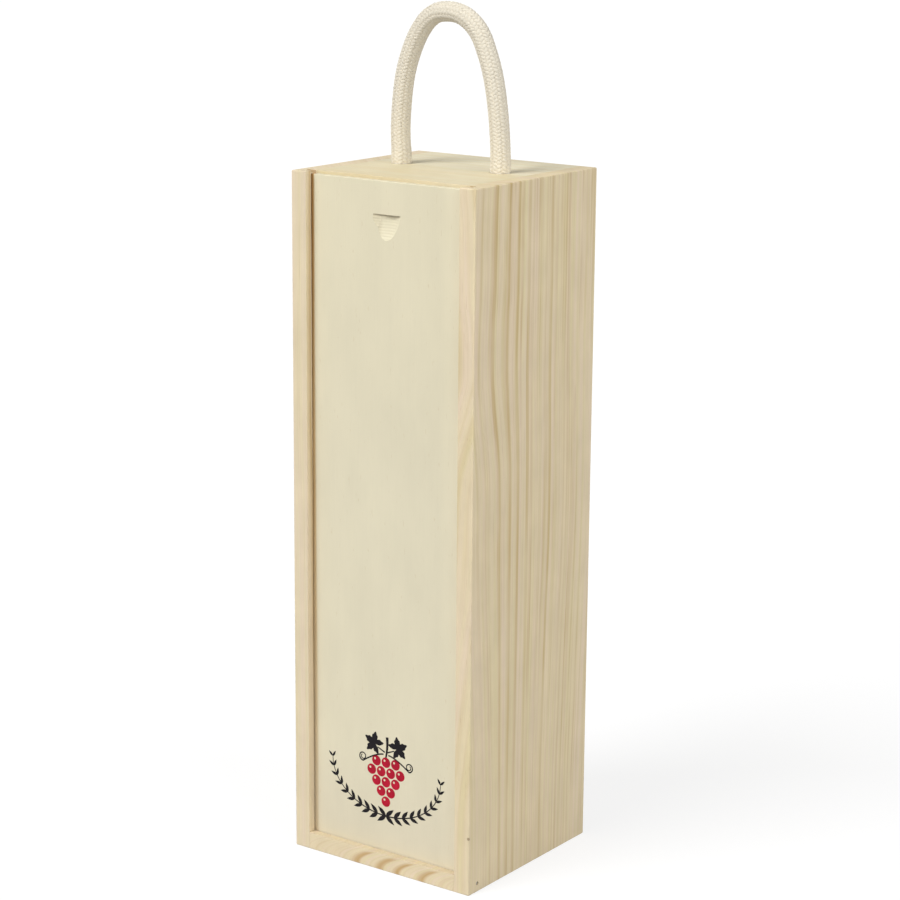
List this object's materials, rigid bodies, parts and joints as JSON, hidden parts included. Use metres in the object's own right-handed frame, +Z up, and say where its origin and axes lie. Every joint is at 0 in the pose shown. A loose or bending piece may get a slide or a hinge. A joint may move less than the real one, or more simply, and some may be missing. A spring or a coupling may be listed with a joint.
{
  "type": "wooden wine box",
  "caption": "Tall upright pine box for a single bottle, with a thin front lid that slides up out of grooves, a thumb notch and an arched cotton rope handle knotted under the top.",
  "frame": {"origin": "middle of the underside, where the box stands", "axes": "+Z up, the way the lid slides out; -Y towards the front, where the lid is; +X to the right as seen from the front"},
  "size_m": [0.11, 0.103, 0.4306],
  "materials": {
    "pine": "planed and sanded, unfinished pale pine with vertical grain",
    "plywood": "thin sanded poplar plywood, unfinished",
    "lid_wood": "smooth sanded basswood veneer, unfinished",
    "cotton_rope": "undyed braided cotton",
    "brad_steel": "bare drawn steel",
    "red_ink": "flat screen-printed ink",
    "black_ink": "flat screen-printed ink"
  },
  "bodies": {
    "box": {"left_side_board": "pine", "right_side_board": "pine", "top_board": "pine", "bottom_board": "pine", "back_panel": "plywood", "rope_knot_left": "cotton_rope", "rope_knot_right": "cotton_rope", "bottom_brads": "brad_steel"},
    "lid": {"sliding_lid": "lid_wood"},
    "handle": {"rope_handle": "cotton_rope"}
  },
  "joints": [
    {"name": "lid_slide", "type": "slide", "parent": "box", "child": "lid", "axis": [0, 0, 1], "range_m": [0, 0.35]},
    {"name": "handle_swing", "type": "hinge", "parent": "box", "child": "handle", "pos_m": [0, 0.0041, 0.3553], "axis": [-1, 0, 0], "range_deg": [-35, 75], "stiffness_Nm_per_rad": 0.03}
  ]
}
